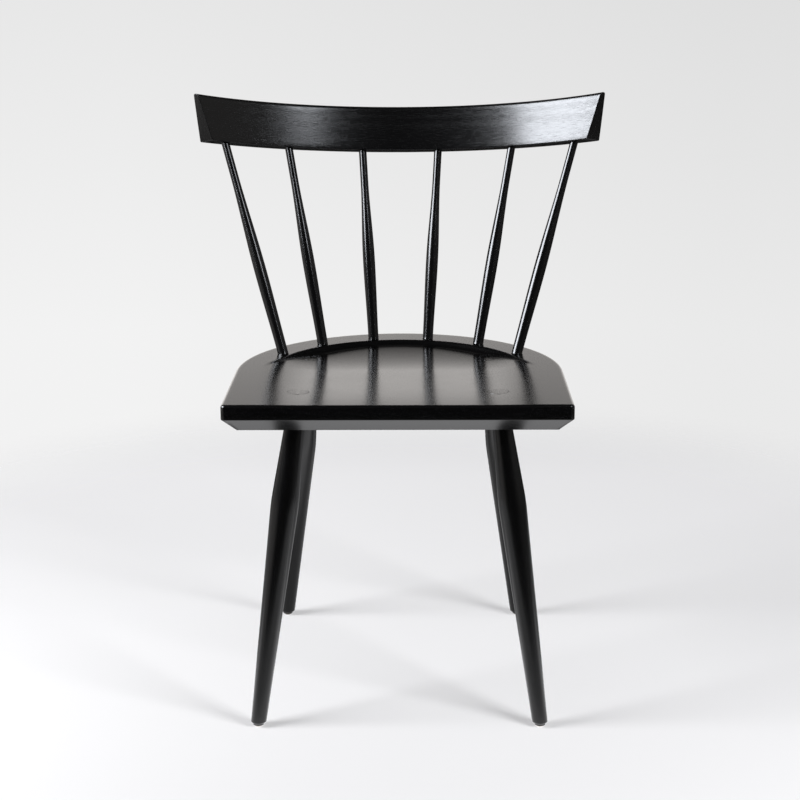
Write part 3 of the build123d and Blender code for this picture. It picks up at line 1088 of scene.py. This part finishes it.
def plated_nickel(chair):
    """Pressed steel, nickel plated: bright and a little warm, with fine rub marks."""
    finish = new_finish("nickel plated steel")
    tree = finish.node_tree
    rub_size = 0.6 * MM
    place = add(tree, "ShaderNodeTexCoord").outputs["Object"]
    rubs = add(tree, "ShaderNodeTexNoise", {}, {"Vector": place, "Scale": 1 / rub_size, "Detail": 3.0})
    roughness = add(
        tree, "ShaderNodeMapRange", {}, {"Value": rubs.outputs["Fac"], "To Min": 0.14, "To Max": 0.34}
    )
    shader = add(
        tree, "ShaderNodeBsdfPrincipled", {},
        {"Base Color": chair.tints.nickel, "Metallic": 1.0, "Roughness": roughness},
    )
    add(tree, "ShaderNodeOutputMaterial", {}, {"Surface": shader})
    return finish


def moulded_rubber(chair):
    """Moulded black rubber: matt, with the fine grain of its mould."""
    finish = new_finish("moulded rubber")
    tree = finish.node_tree
    grain_size = 0.4 * MM
    grain_depth = 0.05 * MM
    place = add(tree, "ShaderNodeTexCoord").outputs["Object"]
    grain = add(tree, "ShaderNodeTexNoise", {}, {"Vector": place, "Scale": 1 / grain_size, "Detail": 2.0})
    relief = add(
        tree, "ShaderNodeBump", {},
        {"Strength": 0.6, "Distance": grain_depth, "Height": grain.outputs["Fac"]},
    )
    shader = add(
        tree, "ShaderNodeBsdfPrincipled", {},
        {"Base Color": chair.tints.rubber, "Roughness": 0.62, "Normal": relief},
    )
    add(tree, "ShaderNodeOutputMaterial", {}, {"Surface": shader})
    return finish


def drawn_wire(chair):
    """Drawn steel wire: grey, with draw lines along the nail."""
    finish = new_finish("drawn steel wire")
    tree = finish.node_tree
    line_width = 0.2 * MM
    line_length = 4 * MM
    place = add(tree, "ShaderNodeTexCoord").outputs["Object"]
    stretched = add(
        tree, "ShaderNodeVectorMath", {"operation": "MULTIPLY"},
        {0: place, 1: (1 / line_width, 1 / line_width, 1 / line_length)},
    )
    lines = add(tree, "ShaderNodeTexNoise", {}, {"Vector": stretched, "Scale": 1.0})
    roughness = add(
        tree, "ShaderNodeMapRange", {}, {"Value": lines.outputs["Fac"], "To Min": 0.25, "To Max": 0.5}
    )
    shader = add(
        tree, "ShaderNodeBsdfPrincipled", {},
        {"Base Color": chair.tints.steel, "Metallic": 1.0, "Roughness": roughness},
    )
    add(tree, "ShaderNodeOutputMaterial", {}, {"Surface": shader})
    return finish


def paint_nodes(prefix, finish):
    """Gives a finish to the CAD nodes whose names start alike, and returns them."""
    nodes = [node for name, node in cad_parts.items() if name.startswith(prefix)]
    for node in nodes:
        node.data.materials.clear()
        node.data.materials.append(finish)
    return nodes


class CHAIR_OT_finish_wedges(bpy.types.Operator):
    """Lacquer the wedges in the leg tenons"""

    bl_idname = "chair.finish_wedges"
    bl_label = "Finish wedges"

    def execute(self, context):
        finish = lacquered_ash(context.scene.chair, "wedges", relief_share=0.12)
        for node in paint_nodes("leg_wedge", finish):
            lay_grain(node, lambda points: points[:, [2, 0, 1]])
        return {"FINISHED"}


class CHAIR_OT_finish_glides(bpy.types.Operator):
    """Finish the glides: plated caps, rubber cushions and nails"""

    bl_idname = "chair.finish_glides"
    bl_label = "Finish glides"

    def execute(self, context):
        chair = context.scene.chair
        paint_nodes("glide_cap", plated_nickel(chair))
        paint_nodes("glide_cushion", moulded_rubber(chair))
        paint_nodes("glide_nails", drawn_wire(chair))
        return {"FINISHED"}


# The studio


def graded(tree, strength, *grades):
    """Strength times some grades; each runs along a socket, between two places and two shares."""
    for label, along, start, end, low, high in grades:
        grade = add(
            tree, "ShaderNodeMapRange", {"label": label},
            {"Value": along, "From Min": start, "From Max": end, "To Min": low, "To Max": high},
        )
        strength = add(tree, "ShaderNodeMath", {"operation": "MULTIPLY"}, {0: strength, 1: grade})
    return strength


class CHAIR_OT_set_stage(bpy.types.Operator):
    """Set the floor, the light and the camera"""

    bl_idname = "chair.set_stage"
    bl_label = "Set stage"

    def execute(self, context):
        scene = context.scene
        scene.view_settings.view_transform = "Standard"
        tints = scene.chair.tints
        self.lay_floor(tints)
        for name, place, extent, power, mirrored in (
            ("left softbox", (-1.44, -0.35, 1.42), (1.23, 0.95), 76.0, True),
            ("right softbox", (1.083, -1.145, 1.83), (0.45, 0.7), 10.5, True),
            ("left fill", (-1.75, -0.55, 1.05), (0.95, 0.8), 56.0, False),
            ("right fill", (1.5, -1.3, 1.1), (0.75, 0.75), 51.0, False),
        ):
            colour = tints.daylight if mirrored else tints.backdrop
            self.hang_light(name, place, extent, power, colour, mirrored)
        scene.world = self.studio(tints)
        self.set_camera(scene)
        return {"FINISHED"}

    def lay_floor(self, tints):
        """Pale paper floor; where the camera looks past it, it fades into the backdrop.

        To the camera it is lit paper, partly evened out by a painted glow that grows towards the backdrop
        and fades out in front. In the lacquer it is painted glow only: bright up to the chair's front
        legs, with a painted shadow below the seat and painted shade far behind."""
        half_width = 1.35
        front = -1.1
        back = 1.5
        fade_middle = (0, 0.2, 0)
        fade_start = 0.8
        fade_end = 1.3
        # share of painted glow in the floor as the camera sees it
        painted_glow_share = 0.3
        mesh = bpy.data.meshes.new("floor")
        near = [(-half_width, front, 0), (half_width, front, 0)]
        far = [(half_width, back, 0), (-half_width, back, 0)]
        mesh.from_pydata(near + far, [], [(0, 1, 2, 3)])
        floor = new_piece("floor", mesh)
        paper = new_finish("studio paper")
        tree = paper.node_tree
        place = add(tree, "ShaderNodeTexCoord").outputs["Object"]
        depth = add(tree, "ShaderNodeSeparateXYZ", {}, {0: place}).outputs["Y"]
        path = add(tree, "ShaderNodeLightPath").outputs
        seen = path["Is Camera Ray"]
        # Painted reflection: the floor's glow as the lacquer mirrors it, brighter towards the chair, with
        # a painted shadow below the seat and painted shade far behind
        mirrored = graded(
            tree, 1.0,
            ("brighter towards the chair", depth, -0.45, -0.15, 0.83, 1.9),
            ("dark below the seat", depth, -0.12, 0.04, 1.0, 0.3),
            ("dark far behind", depth, 0.5, 1.0, 1.0, 0.1),
        )
        # Painted light: the floor's glow as the camera sees it, brighter towards the backdrop and fading
        # out in front
        shown = graded(
            tree, 1.0,
            ("brighter towards the backdrop", depth, -0.4, 0.9, 1.0, 1.85),
            ("dark in front", depth, -1.0, -0.45, 0.0, 1.0),
        )
        strength = add(
            tree, "ShaderNodeMix", {"data_type": "FLOAT"},
            {0: seen, NUMBER_A: mirrored, NUMBER_B: shown},
        )
        # The floor glows though it is no lamp: this emission is painted light
        glowing = add(tree, "ShaderNodeEmission", {}, {"Color": tints.floor, "Strength": strength})
        matt = add(tree, "ShaderNodeBsdfDiffuse", {}, {"Color": tints.floor})
        # Camera rays get this share of painted glow over the lit paper; glossy rays get painted glow only
        even = add(
            tree, "ShaderNodeMath", {"operation": "MULTIPLY_ADD"},
            {0: seen, 1: painted_glow_share, 2: path["Is Glossy Ray"]},
        )
        surface = add(tree, "ShaderNodeMixShader", {}, {0: even, 1: matt, 2: glowing})
        aside = add(tree, "ShaderNodeVectorMath", {"operation": "SUBTRACT"}, {0: place, 1: fade_middle})
        away = add(tree, "ShaderNodeVectorMath", {"operation": "LENGTH"}, {0: aside}).outputs["Value"]
        fade = add(
            tree, "ShaderNodeMapRange", {"interpolation_type": "SMOOTHSTEP"},
            {"Value": away, "From Min": fade_start, "From Max": fade_end},
        )
        hidden = add(tree, "ShaderNodeMath", {"operation": "MULTIPLY"}, {0: seen, 1: fade})
        clear = add(tree, "ShaderNodeBsdfTransparent")
        mixed = add(tree, "ShaderNodeMixShader", {}, {0: hidden, 1: surface, 2: clear})
        add(tree, "ShaderNodeOutputMaterial", {}, {"Surface": mixed})
        mesh.materials.append(paper)

    def hang_light(self, name, place, extent, power, colour, mirrored):
        """Flat light that looks at the chair; the lacquer mirrors it, or else it lights the floor."""
        target = Vector((0, 0.05, 0.6))
        light = bpy.data.lights.new(name, "AREA")
        light.shape = "RECTANGLE"
        light.size, light.size_y = extent
        light.energy = power
        light.color = colour[:3]
        lamp = bpy.data.objects.new(name, light)
        lamp.location = place
        lamp.rotation_euler = (target - lamp.location).to_track_quat("-Z", "Y").to_euler()
        lamp.visible_camera = False
        lamp.visible_glossy = mirrored
        lamp.visible_diffuse = not mirrored
        bpy.context.scene.collection.objects.link(lamp)

    def studio(self, tints):
        """Backdrop: near even paper to the camera, with painted light that makes it a little brighter low
        down and on the left; in the lacquer, bright low down behind the chair, dimmer at both sides and
        dark overhead and in front."""
        glow_fall = -8.5
        glow_start = 1.88
        glow_limit = 0.66
        world = bpy.data.worlds.new("studio")
        world.use_nodes = True
        tree = world.node_tree
        tree.nodes.clear()
        way = add(tree, "ShaderNodeTexCoord").outputs["Generated"]
        x, y, z = add(tree, "ShaderNodeSeparateXYZ", {}, {0: way}).outputs
        fall = add(
            tree, "ShaderNodeMath", {"operation": "MULTIPLY_ADD"}, {0: z, 1: glow_fall, 2: glow_start}
        )
        limited = add(tree, "ShaderNodeMath", {"operation": "MINIMUM"}, {0: fall, 1: glow_limit})
        low = add(tree, "ShaderNodeMath", {"operation": "EXPONENT"}, {0: limited})
        aside = add(tree, "ShaderNodeMath", {"operation": "ABSOLUTE"}, {0: x})
        narrow = add(
            tree, "ShaderNodeMapRange", {"interpolation_type": "SMOOTHSTEP"},
            {"Value": aside, "From Min": 0.24, "From Max": 0.45, "To Min": 1.0, "To Max": 0.0},
        )
        glow = graded(
            tree, add(tree, "ShaderNodeMath", {"operation": "MULTIPLY"}, {0: low, 1: narrow}),
            ("behind the chair", y, 0.0, 0.2, 0.0, 1.0),
            ("brighter on the left", x, -0.4, 0.4, 1.22, 0.78),
            ("down to the floor", z, -0.3, -0.1, 0.0, 1.0),
        )
        wall = graded(
            tree, 1.0,
            ("wall on the right", x, 0.55, 0.95, 0.03, 0.3),
            ("darker low down", z, -0.1, 0.15, 0.3, 1.0),
        )
        flank = graded(
            tree, 1.0,
            ("floor on the left", x, -0.6, -0.9, 0.0, 0.6),
            ("darker near by", z, -0.36, -0.18, 0.4, 1.0),
            ("up to the horizon", z, 0.0, 0.14, 1.0, 0.0),
        )
        mirrored = glow
        for side in (wall, flank):
            mirrored = add(tree, "ShaderNodeMath", {"operation": "ADD"}, {0: mirrored, 1: side})
        # Painted light on the backdrop as the camera sees it: a little brighter low down and on the left
        shown = graded(
            tree, 1.0,
            ("brighter low down", z, -0.04, -0.22, 0.95, 1.06),
            ("brighter on the left", x, -0.155, 0.155, 1.03, 0.95),
        )
        path = add(tree, "ShaderNodeLightPath").outputs
        seen = add(
            tree, "ShaderNodeMath", {"operation": "MAXIMUM"},
            {0: path["Is Camera Ray"], 1: path["Is Transmission Ray"]},
        )
        strength = add(
            tree, "ShaderNodeMix", {"data_type": "FLOAT"},
            {0: seen, NUMBER_A: mirrored, NUMBER_B: shown},
        )
        colour = add(
            tree, "ShaderNodeMix", {"data_type": "RGBA"},
            {0: seen, COLOUR_A: tints.glow, COLOUR_B: tints.backdrop},
        ).outputs[MIXED_COLOUR]
        light = add(tree, "ShaderNodeBackground", {}, {"Color": colour, "Strength": strength})
        add(tree, "ShaderNodeOutputWorld", {}, {"Surface": light})
        return world

    def set_camera(self, scene):
        """Camera at the photograph's place: near level and square on, looking a little down."""
        place = (0.034, -2.566, 1.0844)
        yaw = Matrix.Rotation(math.radians(0.75), 4, "Z")
        pitch = Matrix.Rotation(math.radians(74.944), 4, "X")
        roll = Matrix.Rotation(math.radians(-0.3), 4, "Z")
        view = bpy.data.cameras.new("camera")
        view.lens = 85.0
        view.sensor_width = 36.0
        camera = bpy.data.objects.new("camera", view)
        camera.matrix_world = Matrix.Translation(place) @ (yaw @ pitch) @ roll
        scene.collection.objects.link(camera)
        scene.camera = camera


class CHAIR_PT_workshop(bpy.types.Panel):
    """Lists the steps and the sizes"""

    bl_idname = "CHAIR_PT_workshop"
    bl_label = "Low-back chair"
    bl_space_type = "VIEW_3D"
    bl_region_type = "UI"
    bl_category = "Chair"

    def draw(self, context):
        chair = context.scene.chair
        for operator in OPERATORS:
            self.layout.operator(operator.bl_idname)
        for group in ("seat", "saddle", "legs", "spindles", "crest", "tints"):
            box = self.layout.box()
            sizes = getattr(chair, group)
            box.label(text=ChairSettings.bl_rna.properties[group].name)
            for name in sizes.__annotations__:
                box.prop(sizes, name)


GROUPS = (SeatSizes, SaddleSizes, LegSizes, SpindleSizes, CrestSizes, FinishTints, ChairSettings)
OPERATORS = (
    CHAIR_OT_carve_seat,
    CHAIR_OT_turn_legs,
    CHAIR_OT_finish_wedges,
    CHAIR_OT_turn_spindles,
    CHAIR_OT_bend_crest,
    CHAIR_OT_finish_glides,
    CHAIR_OT_set_stage,
)


def register():
    for group in GROUPS + OPERATORS + (CHAIR_PT_workshop,):
        bpy.utils.register_class(group)
    bpy.types.Scene.chair = bpy.props.PointerProperty(type=ChairSettings)


def unregister():
    del bpy.types.Scene.chair
    for group in reversed(GROUPS + OPERATORS + (CHAIR_PT_workshop,)):
        bpy.utils.unregister_class(group)


def main():
    register()
    bpy.ops.chair.carve_seat()
    bpy.ops.chair.turn_legs()
    bpy.ops.chair.finish_wedges()
    bpy.ops.chair.turn_spindles()
    bpy.ops.chair.bend_crest()
    bpy.ops.chair.finish_glides()
    bpy.ops.chair.set_stage()


if __name__ == "__main__":
    main()
